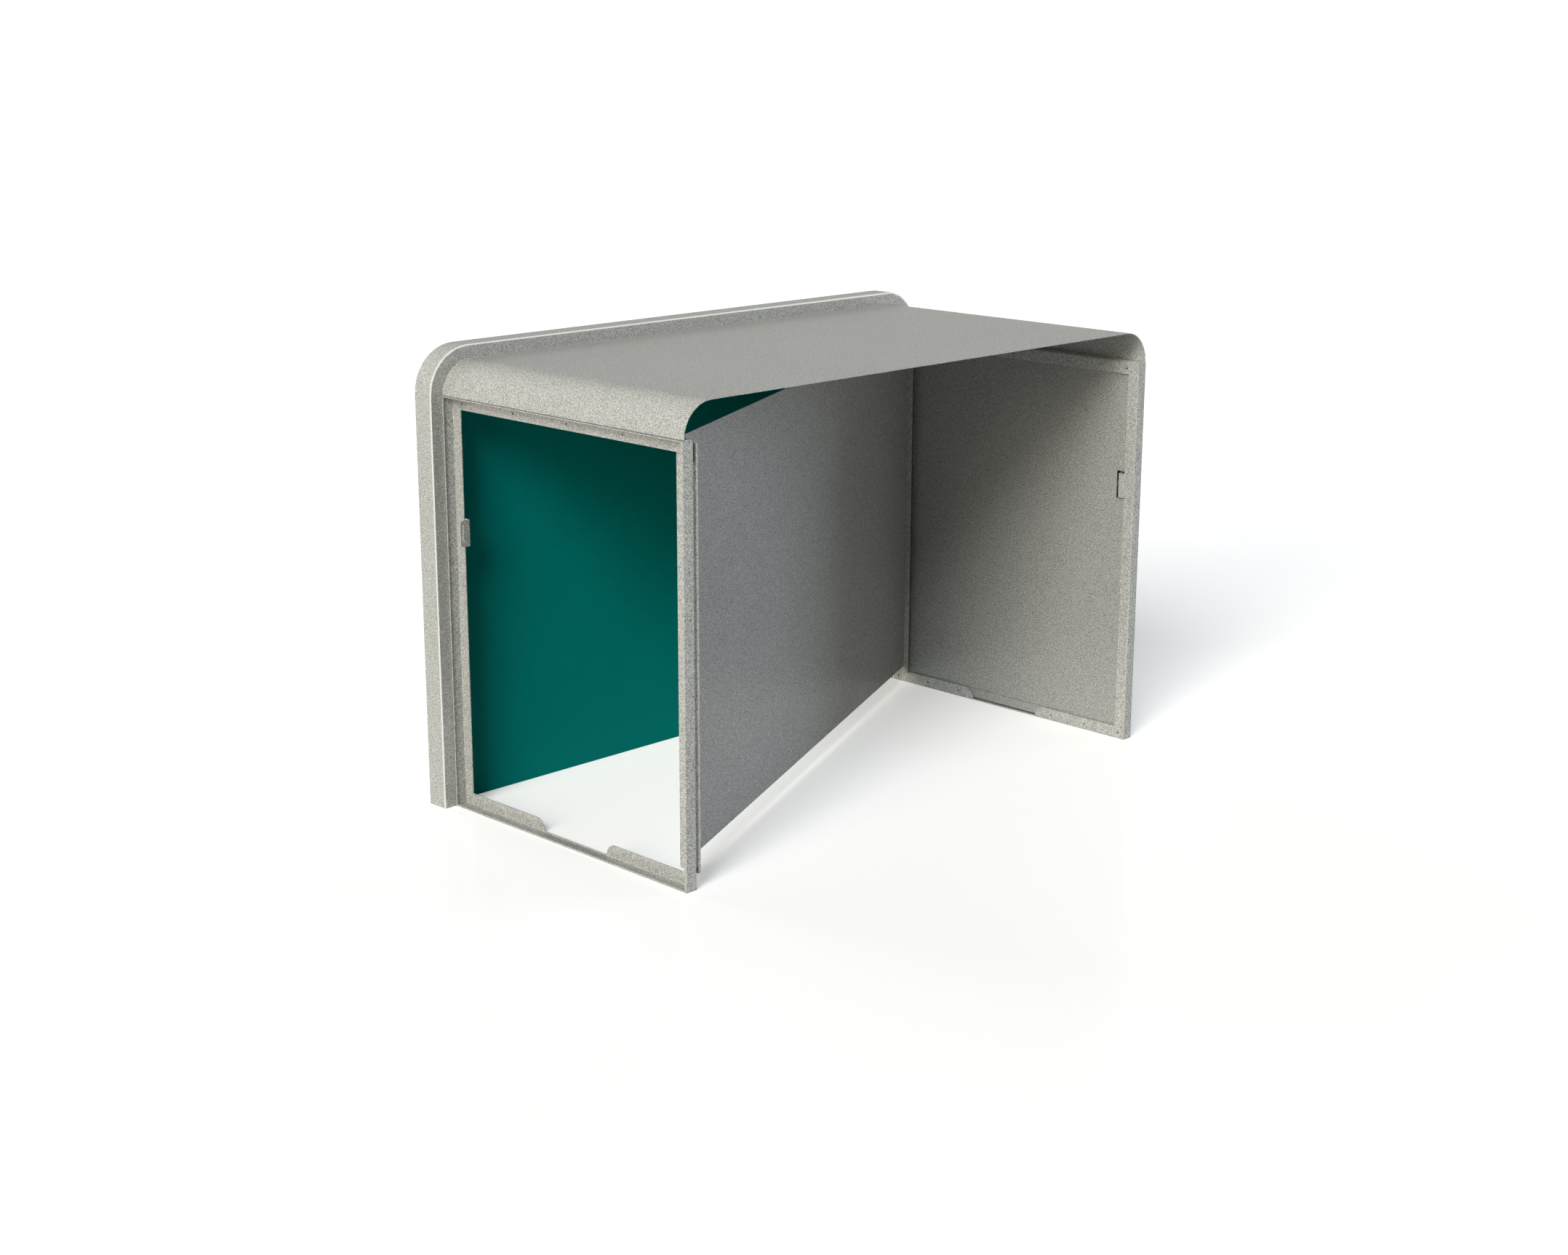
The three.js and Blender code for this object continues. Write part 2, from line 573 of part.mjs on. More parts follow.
// Lock parts that stay on the door: the rose outside and the housing behind the skin
function makeLockSeat() {
  const bore = SPINDLE_RADIUS + BORE_CLEARANCE;
  const roseFace = doorFace + ROSE_THICKNESS;
  const rose = turnedOnSpindle([
    [bore, doorFace], [ROSE_RADIUS, doorFace], [ROSE_RADIUS, roseFace - ROSE_EDGE],
    [ROSE_RADIUS - ROSE_EDGE, roseFace], [bore, roseFace],
  ]);
  const housingInside = camOutside + HOUSING_CAM_GAP;
  const housing = turnedOnSpindle([
    [bore, housingInside], [HOUSING_RADIUS, housingInside],
    [HOUSING_RADIUS, skinInside], [bore, skinInside],
  ]);
  return [piece('lock_rose', rose, platedSteel), piece('lock_housing', housing, platedSteel)];
}

// Lock parts that turn: the spindle, the handle with its core, the cam and the cam's nut
function makeLatch() {
  const roseFace = doorFace + ROSE_THICKNESS;
  const bossFace = roseFace + SEAT_GAP;
  const socketEnd = bossFace + HANDLE_SOCKET_DEPTH;
  const stubEnd = camOutside - SPINDLE_STUB_LENGTH;
  const spindle = turnedOnSpindle([
    [0, stubEnd], [SPINDLE_STUB_RADIUS, stubEnd], [SPINDLE_STUB_RADIUS, camOutside],
    [SPINDLE_RADIUS, camOutside], [SPINDLE_RADIUS, socketEnd - SEAT_GAP], [0, socketEnd - SEAT_GAP],
  ]);

  const handleEnd = HANDLE_STANDOUT;
  const coreSeat = handleEnd - CORE_DEPTH;
  const boss = turnedOnSpindle([
    [0, bossFace], [HANDLE_BOSS_RADIUS - HANDLE_EDGE, bossFace],
    [HANDLE_BOSS_RADIUS, bossFace + HANDLE_EDGE], [HANDLE_BOSS_RADIUS, handleEnd - HANDLE_EDGE],
    [HANDLE_BOSS_RADIUS - HANDLE_EDGE, handleEnd], [0, handleEnd],
  ]);
  const reach = (HANDLE_LENGTH - HANDLE_GRIP_WIDTH) / 2;
  const gripRadius = HANDLE_GRIP_WIDTH / 2;
  const grip = pulled([
    ...arcPoints(reach, 0, gripRadius, -Math.PI / 2, Math.PI / 2, ARC_STEPS),
    ...arcPoints(-reach, 0, gripRadius, Math.PI / 2, Math.PI * 3 / 2, ARC_STEPS),
  ], 'x', [handleEnd - HANDLE_GRIP_DEPTH, handleEnd], HANDLE_EDGE).translate(0, lockY, LOCK_HEIGHT);
  const bar = (radius, ends) => barX(radius, ends, lockY, LOCK_HEIGHT);
  const handle = shaped(boss, [grip], [
    bar(SPINDLE_RADIUS + BORE_CLEARANCE, [bossFace - OVERRUN, socketEnd]),
    bar(CORE_RADIUS + BORE_CLEARANCE, [coreSeat, handleEnd + OVERRUN]),
  ]);

  const coreEnd = handleEnd + CORE_STANDOUT;
  const keyway = block([coreEnd - KEYWAY_DEPTH, coreEnd + OVERRUN],
    [lockY - KEYWAY_WIDTH / 2, lockY + KEYWAY_WIDTH / 2],
    [LOCK_HEIGHT - KEYWAY_HEIGHT / 2, LOCK_HEIGHT + KEYWAY_HEIGHT / 2]);
  const core = shaped(bar(CORE_RADIUS, [coreSeat + SEAT_GAP, coreEnd]), [], [keyway]);

  const hub = CAM_WIDTH / 2;
  const tip = Math.asin(hub / CAM_REACH);
  const down = -Math.PI / 2;
  const camOutline = [
    ...arcPoints(0, 0, CAM_REACH, down - tip, down + tip, BEND_STEPS * 2),
    ...arcPoints(0, 0, hub, 0, Math.PI, ARC_STEPS),
  ];
  const blade = pulled(camOutline, 'x', [camInside, camOutside]).translate(0, lockY, LOCK_HEIGHT);
  const stubHole = bar(SPINDLE_STUB_RADIUS + BORE_CLEARANCE, [camInside - OVERRUN, camOutside + OVERRUN]);
  const nutEnds = [camInside - CAM_NUT_THICKNESS, camInside];
  const nutHole = bar(SPINDLE_STUB_RADIUS + BORE_CLEARANCE, [nutEnds[0] - OVERRUN, nutEnds[1] + OVERRUN]);
  const nut = shaped(barX(CAM_NUT_RADIUS, nutEnds, lockY, LOCK_HEIGHT, CAM_NUT_SIDES), [], [nutHole]);
  return [
    piece('lock_spindle', spindle, platedSteel),
    piece('lock_handle', handle, castHandle),
    piece('lock_core', core, platedSteel),
    piece('lock_cam', shaped(blade, [], [stubHole]), platedSteel),
    piece('lock_cam_nut', nut, platedSteel),
  ];
}

const rightEnd = makeEndFrame('right');
const lowerHinge = makeHinge('lower', LOWER_HINGE_FOOT);
const upperHinge = makeHinge('upper', upperHingeFoot);
rightEnd.add(...lowerHinge.fixed, ...upperHinge.fixed);

const latch = new THREE.Group();
latch.add(...makeLatch());

const door = new THREE.Group();
door.add(...makeDoor(), ...lowerHinge.moving, ...upperHinge.moving, ...makeLockSeat(), latch);

rightEnd.add(door);
rightEnd.position.x = halfLength;

const leftEnd = makeEndFrame('left');
leftEnd.position.x = -halfLength;
leftEnd.rotation.z = Math.PI;

const locker = new THREE.Group();
locker.add(makeRoof(), makeHoop(), ...makeInfill(), makePartition(), rightEnd, leftEnd);
locker.position.y = -HOOP_DEPTH / 2;

export default locker;
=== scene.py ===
"""Looks of a two-person cycle locker bay in folded galvanised steel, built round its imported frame.

Lengths are metres in the frame's own axes: X along the locker, the open long side towards -Y, Z up.
Colours are linear.
"""

from __future__ import annotations

import logging
import math
from dataclasses import dataclass
from enum import Enum

import bpy
import numpy as np
from mathutils import Matrix, Vector


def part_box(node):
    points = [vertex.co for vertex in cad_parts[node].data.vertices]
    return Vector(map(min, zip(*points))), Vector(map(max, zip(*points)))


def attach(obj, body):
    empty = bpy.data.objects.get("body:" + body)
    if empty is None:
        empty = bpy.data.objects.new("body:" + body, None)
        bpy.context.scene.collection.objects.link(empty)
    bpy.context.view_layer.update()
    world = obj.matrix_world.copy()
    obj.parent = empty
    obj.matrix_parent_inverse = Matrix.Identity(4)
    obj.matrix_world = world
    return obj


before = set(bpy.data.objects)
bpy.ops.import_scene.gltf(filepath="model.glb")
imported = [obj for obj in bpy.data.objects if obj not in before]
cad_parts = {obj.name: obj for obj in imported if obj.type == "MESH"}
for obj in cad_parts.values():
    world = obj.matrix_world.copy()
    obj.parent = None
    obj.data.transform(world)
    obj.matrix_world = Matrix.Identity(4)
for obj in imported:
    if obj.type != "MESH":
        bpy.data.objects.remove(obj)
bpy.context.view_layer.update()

log = logging.getLogger("cycle_locker")

Range = tuple[float, float]
Triple = tuple[float, float, float]
Colour = Triple
Node = bpy.types.Node
Socket = bpy.types.NodeSocket

MILLIMETRE = 0.001
MIDDLE = 0.5
WHITE: Colour = (1.0, 1.0, 1.0)
# The face attribute that marks outer bends for a painted highlight.
PAINTED_EDGE_HIGHLIGHT = "painted_edge_highlight"


class Body(Enum):
    """The bodies that new pieces ride on."""

    LOCKER = "locker"
    DOOR = "door"


class Finish(Enum):
    """The finishes. All but the door's darker zinc, painted shade for its recess, are slots of the
    record too.
    """

    GALVANISED = "galvanised_steel"
    SHADED = "dull_galvanised_steel"
    TEAL = "teal_panel"
    PLATED = "plated_steel"
    CAST = "cast_zinc"


@dataclass
class Wiring:
    """A node tree under construction, with short calls that add nodes and join them."""

    tree: bpy.types.NodeTree

    def add(self, kind: str, **settings: object) -> Node:
        """Adds a node.

        Args:
            kind: The node's Blender type.
            **settings: Attributes set on the node before its sockets are used.

        Returns:
            The new node.
        """
        node = self.tree.nodes.new(kind)
        for key, value in settings.items():
            setattr(node, key, value)
        return node

    def put(self, socket: Socket, value: object) -> None:
        """Joins an output socket to an input, or sets the input's own value.

        Args:
            socket: The input socket.
            value: An output socket, a number, a colour or whatever else the input holds.
        """
        if isinstance(value, bpy.types.NodeSocket):
            self.tree.links.new(value, socket)
        elif isinstance(value, tuple) and len(value) == 3 and socket.type == "RGBA":
            socket.default_value = (*value, 1.0)
        else:
            socket.default_value = value

    def feed(self, node: Node, **inputs: object) -> Node:
        """Sets or joins a node's inputs by name.

        Args:
            node: The node to feed.
            **inputs: Names with underscores for spaces, each with a value or an output socket.

        Returns:
            The same node.
        """
        for key, value in inputs.items():
            self.put(node.inputs[key.replace("_", " ")], value)
        return node

    def fill(self, node: Node, *values: object) -> Socket:
        """Sets or joins a node's first inputs in order.

        Args:
            node: The node to feed.
            *values: Values or output sockets, from the first input on.

        Returns:
            The node's first output.
        """
        for socket, value in zip(node.inputs, values):
            self.put(socket, value)
        return node.outputs[0]

    def math(self, operation: str, *values: object) -> Socket:
        """Adds a Math node.

        Args:
            operation: The Math node's operation.
            *values: Numbers or output sockets, as many as the operation takes.

        Returns:
            The result's socket.
        """
        return self.fill(self.add("ShaderNodeMath", operation=operation), *values)

    def swing(self, value: Socket, strength: object) -> Socket:
        """Turns a value of 0 to 1 into a swing about nought.

        Args:
            value: The value's socket.
            strength: What the value's distance from its middle is multiplied by.

        Returns:
            The swing's socket.
        """
        return self.math("MULTIPLY", self.math("SUBTRACT", value, MIDDLE), strength)

    def span(self, value: Socket, source: Range, target: Range) -> Socket:
        """Maps a value from one range to another, held at the ends.

        Args:
            value: The socket to map.
            source: The range that the value covers.
            target: The range that it is mapped to.

        Returns:
            The mapped value's socket.
        """
        node = self.add("ShaderNodeMapRange", clamp=True)
        self.feed(node, Value=value, From_Min=source[0], From_Max=source[1])
        self.feed(node, To_Min=target[0], To_Max=target[1])
        return node.outputs["Result"]

    def noise(
        self, vector: Socket, scale: object, detail: float = 2.0, roughness: float = 0.5
    ) -> Socket:
        """Adds a noise.

        Args:
            vector: The coordinates in metres.
            scale: One over the size of its features, as a number or an output socket.
            detail: How many finer octaves it holds.
            roughness: How strong those octaves are.

        Returns:
            The noise value's socket, about 0 to 1.
        """
        node = self.add("ShaderNodeTexNoise", noise_dimensions="3D")
        self.feed(node, Vector=vector, Scale=scale, Detail=detail, Roughness=roughness)
        return node.outputs["Fac"]

    def tinted(self, colour: Colour, shade: Socket) -> Socket:
        """Multiplies a colour by a grey shade.

        Args:
            colour: The linear colour.
            shade: The value it is multiplied by.

        Returns:
            The tinted colour's socket.
        """
        node = self.add("ShaderNodeVectorMath", operation="SCALE")
        self.put(node.inputs["Scale"], shade)
        return self.fill(node, colour)

    def bumped(self, height: Socket, strength: object, relief: float) -> Socket:
        """Turns a height into a normal.

        Args:
            height: The height's socket, about 0 to 1.
            strength: How much of the bump is applied.
            relief: How far the height reaches in metres.

        Returns:
            The normal's socket.
        """
        node = self.add("ShaderNodeBump")
        self.feed(node, Strength=strength, Distance=relief, Height=height)
        return node.outputs["Normal"]

    def group(self, tree: bpy.types.NodeTree, vector: Socket, **inputs: object) -> Node:
        """Places a shader node group.

        Args:
            tree: The group.
            vector: The coordinates that it reads.
            **inputs: Its other inputs, as for feed.

        Returns:
            The group's node.
        """
        node = self.add("ShaderNodeGroup", node_tree=tree)
        return self.feed(node, Vector=vector, **inputs)

    def watched(self) -> Socket:
        """Tells rays apart: one for the camera and for gloss and glass, nought for matt light.

        Returns:
            The answer's socket.
        """
        rays = self.add("ShaderNodeLightPath").outputs
        gloss = self.math("MAXIMUM", rays["Is Glossy Ray"], rays["Is Transmission Ray"])
        return self.math("MAXIMUM", rays["Is Camera Ray"], gloss)


def new_shader_group(
    name: str, inputs: dict[str, float], outputs: tuple[str, ...]
) -> tuple[Wiring, Socket, dict[str, Socket], dict[str, Socket]]:
    """Starts a shader node group that reads coordinates and numbers and gives numbers back.

    Args:
        name: The group's name.
        inputs: The names and defaults of its number inputs, after its Vector input.
        outputs: The names of its number outputs.

    Returns:
        The wiring, the vector socket, the input sockets, and the sockets that the outputs are
        joined to.
    """
    tree = bpy.data.node_groups.new(name, "ShaderNodeTree")
    socket = tree.interface.new_socket
    socket("Vector", in_out="INPUT", socket_type="NodeSocketVector")
    for key, default in inputs.items():
        socket(key, in_out="INPUT", socket_type="NodeSocketFloat").default_value = default
    for key in outputs:
        socket(key, in_out="OUTPUT", socket_type="NodeSocketFloat")
    wiring = Wiring(tree)
    start = wiring.add("NodeGroupInput")
    end = wiring.add("NodeGroupOutput")
    given = {key: start.outputs[key] for key in inputs}
    made = {key: end.inputs[key] for key in outputs}
    return wiring, start.outputs["Vector"], given, made


def new_geometry_group(name: str) -> tuple[Wiring, Socket, Socket]:
    """Starts a geometry node group that takes a mesh and gives one back.

    Args:
        name: The group's name.

    Returns:
        The wiring, the mesh's socket and the socket that the result is joined to.
    """
    tree = bpy.data.node_groups.new(name, "GeometryNodeTree")
    for way in ("INPUT", "OUTPUT"):
        tree.interface.new_socket("Geometry", in_out=way, socket_type="NodeSocketGeometry")
    wiring = Wiring(tree)
    start = wiring.add("NodeGroupInput")
    end = wiring.add("NodeGroupOutput")
    return wiring, start.outputs[0], end.inputs[0]


@dataclass(frozen=True)
class ZincSkin:
    """The pattern of a zinc skin: a sandy grain over crystals over slow clouds."""

    grain: float = 3.2 * MILLIMETRE
    grain_strength: float = 0.5
    grain_detail: float = 1.0
    fine_ratio: float = 2.3
    fine_share: float = 0.5
    spangle: float = 11.0 * MILLIMETRE
    spangle_strength: float = 0.06
    spangle_dullness: float = 0.08
    cloud: float = 380.0 * MILLIMETRE
    cloud_strength: float = 0.08
    cloud_detail: float = 3.0

    def tree(self) -> bpy.types.NodeTree:
        """Builds the node group.

        Shade is one plus the swings of the grain, the crystals and the clouds. Dullness is the
        roughness that the same crystals add, and Height is the grain, which is one noise and a
        finer one mixed.

        Returns:
            The node group.
        """
        inputs = {
            "Grain": self.grain,
            "Grain Strength": self.grain_strength,
            "Spangle": self.spangle,
            "Spangle Strength": self.spangle_strength,
            "Cloud Strength": self.cloud_strength,
        }
        outputs = ("Shade", "Dullness", "Height")
        wiring, vector, given, made = new_shader_group("zinc_skin", inputs, outputs)
        layers = []
        for ratio, share in ((1.0, 1.0 - self.fine_share), (self.fine_ratio, self.fine_share)):
            scale = wiring.math("DIVIDE", ratio, given["Grain"])
            layer = wiring.noise(vector, scale, self.grain_detail)
            layers.append(wiring.math("MULTIPLY", layer, share))
        grain = wiring.math("ADD", *layers)
        grain_part = wiring.swing(grain, given["Grain Strength"])

        cells = wiring.add("ShaderNodeTexVoronoi", feature="F1")
        wiring.feed(cells, Vector=vector, Scale=wiring.math("DIVIDE", 1.0, given["Spangle"]))
        flake = wiring.fill(wiring.add("ShaderNodeSeparateColor"), cells.outputs["Color"])
        flake_part = wiring.swing(flake, given["Spangle Strength"])

        clouds = wiring.noise(vector, 1.0 / self.cloud, self.cloud_detail)
        cloud_part = wiring.swing(clouds, given["Cloud Strength"])

        total = wiring.math("ADD", wiring.math("ADD", grain_part, flake_part), cloud_part)
        wiring.put(made["Shade"], wiring.math("ADD", total, 1.0))
        wiring.put(made["Dullness"], wiring.swing(flake, self.spangle_dullness))
        wiring.put(made["Height"], grain)
        return wiring.tree


@dataclass(frozen=True)
class SprayedCoat:
    """The pattern of a sprayed coat: a fine orange peel, with flecks and slow clouds."""

    peel: float = 1.6 * MILLIMETRE
    fleck: float = 4.0 * MILLIMETRE
    fleck_strength: float = 0.5
    fleck_detail: float = 2.0
    fleck_roughness: float = 0.7
    cloud: float = 300.0 * MILLIMETRE
    cloud_strength: float = 0.12

    def tree(self) -> bpy.types.NodeTree:
        """Builds the node group.

        Shade is one plus the swings of the flecks and the clouds, and Height is the peel.

        Returns:
            The node group.
        """
        inputs = {
            "Peel": self.peel,
            "Fleck": self.fleck,
            "Fleck Strength": self.fleck_strength,
            "Cloud Strength": self.cloud_strength,
        }
        outputs = ("Shade", "Height")
        wiring, vector, given, made = new_shader_group("sprayed_coat", inputs, outputs)
        peel = wiring.noise(vector, wiring.math("DIVIDE", 1.0, given["Peel"]), detail=0.0)
        scale = wiring.math("DIVIDE", 1.0, given["Fleck"])
        fleck = wiring.noise(vector, scale, self.fleck_detail, self.fleck_roughness)
        clouds = wiring.noise(vector, 1.0 / self.cloud)
        fleck_part = wiring.swing(fleck, given["Fleck Strength"])
        cloud_part = wiring.swing(clouds, given["Cloud Strength"])
        total = wiring.math("ADD", fleck_part, cloud_part)
        wiring.put(made["Shade"], wiring.math("ADD", total, 1.0))
        wiring.put(made["Height"], peel)
        return wiring.tree


def new_material(finish: Finish) -> tuple[bpy.types.Material, Wiring, Node, Socket]:
    """Starts a finish's material with a Principled shader and Object coordinates.

    Args:
        finish: The finish, whose value is the material's name.

    Returns:
        The material, its wiring, its shader and its coordinates' socket.
    """
    material = bpy.data.materials.new(finish.value)
    material.use_nodes = True
    wiring = Wiring(material.node_tree)
    shader = material.node_tree.nodes["Principled BSDF"]
    return material, wiring, shader, wiring.add("ShaderNodeTexCoord").outputs["Object"]


@dataclass(frozen=True)
class Galvanised:
    """Hot-dip galvanised sheet: pale grey zinc with a sandy grain, faint crystals and a soft sheen.

    Where the edge marker's attribute is one, the colour is lifted as a painted highlight, the grain
    fades, and the zinc is a little more metallic and glossy.
    """

    finish: Finish
    colour: Colour
    metallic: float = 0.25
    roughness: float = 0.32
    edge_tint: Colour = (0.60, 0.60, 0.60)
    grain: float = 3.6 * MILLIMETRE
    grain_strength: float = 3.8
    bump: float = 0.25
    relief: float = 0.8 * MILLIMETRE
    # Painted highlight on marked bends: how much the colour is lifted, and the metal and gloss added
    # there.
    edge_highlight_gain: float = 0.75
    edge_highlight_metallic: float = 0.45
    edge_highlight_polish: float = 0.08

    def material(self, group: bpy.types.NodeTree) -> bpy.types.Material:
        """Builds the material.

        Args:
            group: The zinc skin's node group.

        Returns:
            The material.
        """
        material, wiring, shader, place = new_material(self.finish)
        mark = wiring.add("ShaderNodeAttribute", attribute_name=PAINTED_EDGE_HIGHLIGHT)
        painted_highlight = mark.outputs["Fac"]
        sandy = wiring.math("SUBTRACT", 1.0, painted_highlight)
        strength = wiring.math("MULTIPLY", sandy, self.grain_strength)
        skin = wiring.group(group, place, Grain=self.grain, Grain_Strength=strength)
        # Painted highlight: the colour is lifted on the marked bend strips.
        gain = wiring.math("MULTIPLY", painted_highlight, self.edge_highlight_gain)
        shade = wiring.math("ADD", skin.outputs["Shade"], gain)
        dull = wiring.math("ADD", skin.outputs["Dullness"], self.roughness)
        polish = wiring.math("MULTIPLY", painted_highlight, self.edge_highlight_polish)
        bright = wiring.math("MULTIPLY", painted_highlight, self.edge_highlight_metallic)
        bump = wiring.math("MULTIPLY", sandy, self.bump)
        wiring.feed(
            shader,
            Base_Color=wiring.tinted(self.colour, shade),
            Metallic=wiring.math("ADD", bright, self.metallic),
            Roughness=wiring.math("SUBTRACT", dull, polish),
            Specular_IOR_Level=0.0,
            Specular_Tint=self.edge_tint,
            Normal=wiring.bumped(skin.outputs["Height"], bump, self.relief),
        )
        return material


@dataclass(frozen=True)
class PowderCoat:
    """Powder-coated sheet: a matt colour with a fine peel and a faintly uneven depth of tone."""

    finish: Finish
    colour: Colour
    roughness: float = 0.62
    specular: float = 0.04
    bump: float = 0.15
    relief: float = 0.2 * MILLIMETRE

    def material(self, group: bpy.types.NodeTree) -> bpy.types.Material:
        """Builds the material.

        Args:
            group: The sprayed coat's node group.

        Returns:
            The material.
        """
        material, wiring, shader, place = new_material(self.finish)
        coat = wiring.group(group, place)
        wiring.feed(
            shader,
            Base_Color=wiring.tinted(self.colour, coat.outputs["Shade"]),
            Roughness=self.roughness,
            Specular_IOR_Level=self.specular,
            Normal=wiring.bumped(coat.outputs["Height"], self.bump, self.relief),
        )
        return material


@dataclass(frozen=True)
class BrightMetal:
    """Plated or cast fittings: a metal with fine working marks and a slightly blotched gloss."""

    finish: Finish
    colour: Colour
    roughness: float
    metallic: float = 0.85
    mark: float = 0.9 * MILLIMETRE
    fleck_strength: float = 0.12
    cloud_strength: float = 0.1
    bump: float = 0.08
    relief: float = 0.1 * MILLIMETRE
    blotch: float = 20.0 * MILLIMETRE
    blotch_range: Range = (0.3, 0.7)
    glossier: float = 0.05
    duller: float = 0.08

    def material(self, group: bpy.types.NodeTree) -> bpy.types.Material:
        """Builds the material.

        Args:
            group: The sprayed coat's node group, whose peel is used as the working marks.

        Returns:
            The material.
        """
        material, wiring, shader, place = new_material(self.finish)
        marks = wiring.group(group, place, Peel=self.mark)
        wiring.feed(marks, Fleck_Strength=self.fleck_strength, Cloud_Strength=self.cloud_strength)
        blotches = wiring.noise(place, 1.0 / self.blotch)
        gloss = (self.roughness - self.glossier, self.roughness + self.duller)
        wiring.feed(
            shader,
            Base_Color=wiring.tinted(self.colour, marks.outputs["Shade"]),
            Metallic=self.metallic,
            Roughness=wiring.span(blotches, self.blotch_range, gloss),
            Normal=wiring.bumped(marks.outputs["Height"], self.bump, self.relief),
        )
        return material


@dataclass(frozen=True)
class BendSmoother:
    """Shades folded sheet smoothly round its bends and keeps its cut edges crisp."""

    seam: float = 0.01 * MILLIMETRE
    crisp_turn: float = math.radians(38)

    def tree(self) -> bpy.types.NodeTree:
        """Builds the geometry nodes.

        Corners that meet are made one, and only edges that turn past the limit stay crisp.

        Returns:
            The node group.
        """
        wiring, mesh, result = new_geometry_group("smooth_bends")
        merged = wiring.add("GeometryNodeMergeByDistance")
        wiring.feed(merged, Geometry=mesh, Distance=self.seam)
        faces = wiring.add("GeometryNodeSetShadeSmooth", domain="FACE")
        wiring.feed(faces, Geometry=merged.outputs[0], Shade_Smooth=True)
        turn = wiring.add("GeometryNodeInputMeshEdgeAngle").outputs["Unsigned Angle"]
        crisp = wiring.add("FunctionNodeCompare", data_type="FLOAT", operation="GREATER_THAN")
        chosen = wiring.feed(crisp, A=turn, B=self.crisp_turn).outputs["Result"]
        edges = wiring.add("GeometryNodeSetShadeSmooth", domain="EDGE")
        wiring.feed(edges, Geometry=faces.outputs[0], Selection=chosen, Shade_Smooth=False)
        wiring.put(result, edges.outputs[0])
        return wiring.tree


@dataclass(frozen=True)
class EdgeHighlightMarker:
    """Marks the narrow strips of a folded sheet's outer bends, where a painted highlight goes."""

    width: float = 2.5 * MILLIMETRE
    least_turn: float = math.radians(4)
    most_turn: float = math.radians(60)
    long_side_share: float = 1.5

    def tree(self) -> bpy.types.NodeTree:
        """Builds the geometry nodes that store the mark.

        A face is marked where one of its sides turns outwards by more than the least turn and less
        than the most, and its breadth is under the width. Its breadth is twice its area over its
        long side, and a narrow face's long side is one and a half times its mean side.

        Returns:
            The node group.
        """
        wiring, mesh, result = new_geometry_group("painted_edge_highlights")
        ends = wiring.add("GeometryNodeInputMeshEdgeVertices").outputs
        side = wiring.add("ShaderNodeVectorMath", operation="DISTANCE")
        wiring.fill(side, ends["Position 1"], ends["Position 2"])
        mean_side = self.over_sides(wiring, side.outputs["Value"])
        long_side = wiring.math("MULTIPLY", mean_side, self.long_side_share)
        area = wiring.add("GeometryNodeInputMeshFaceArea").outputs[0]
        breadth = wiring.math("DIVIDE", wiring.math("MULTIPLY", area, 2.0), long_side)
        narrow = wiring.math("LESS_THAN", breadth, self.width)
        angle = wiring.add("GeometryNodeInputMeshEdgeAngle").outputs["Signed Angle"]
        above = wiring.math("GREATER_THAN", angle, self.least_turn)
        below = wiring.math("LESS_THAN", angle, self.most_turn)
        turning = self.over_sides(wiring, wiring.math("MULTIPLY", above, below))
        marked = wiring.math("MULTIPLY", narrow, wiring.math("GREATER_THAN", turning, 0.0))
        store = wiring.add("GeometryNodeStoreNamedAttribute", data_type="FLOAT", domain="FACE")
        wiring.feed(store, Geometry=mesh, Name=PAINTED_EDGE_HIGHLIGHT, Value=marked)
        wiring.put(result, store.outputs[0])
        return wiring.tree

    def over_sides(self, wiring: Wiring, value: Socket) -> Socket:
        """Works a value out on the edges, so that a face reads the mean over its sides.

        Args:
            wiring: The tree that asks.
            value: The value's socket.

        Returns:
            The mean's socket.
        """
        node = wiring.add("GeometryNodeFieldOnDomain", data_type="FLOAT", domain="EDGE")
        return wiring.feed(node, Value=value).outputs[0]


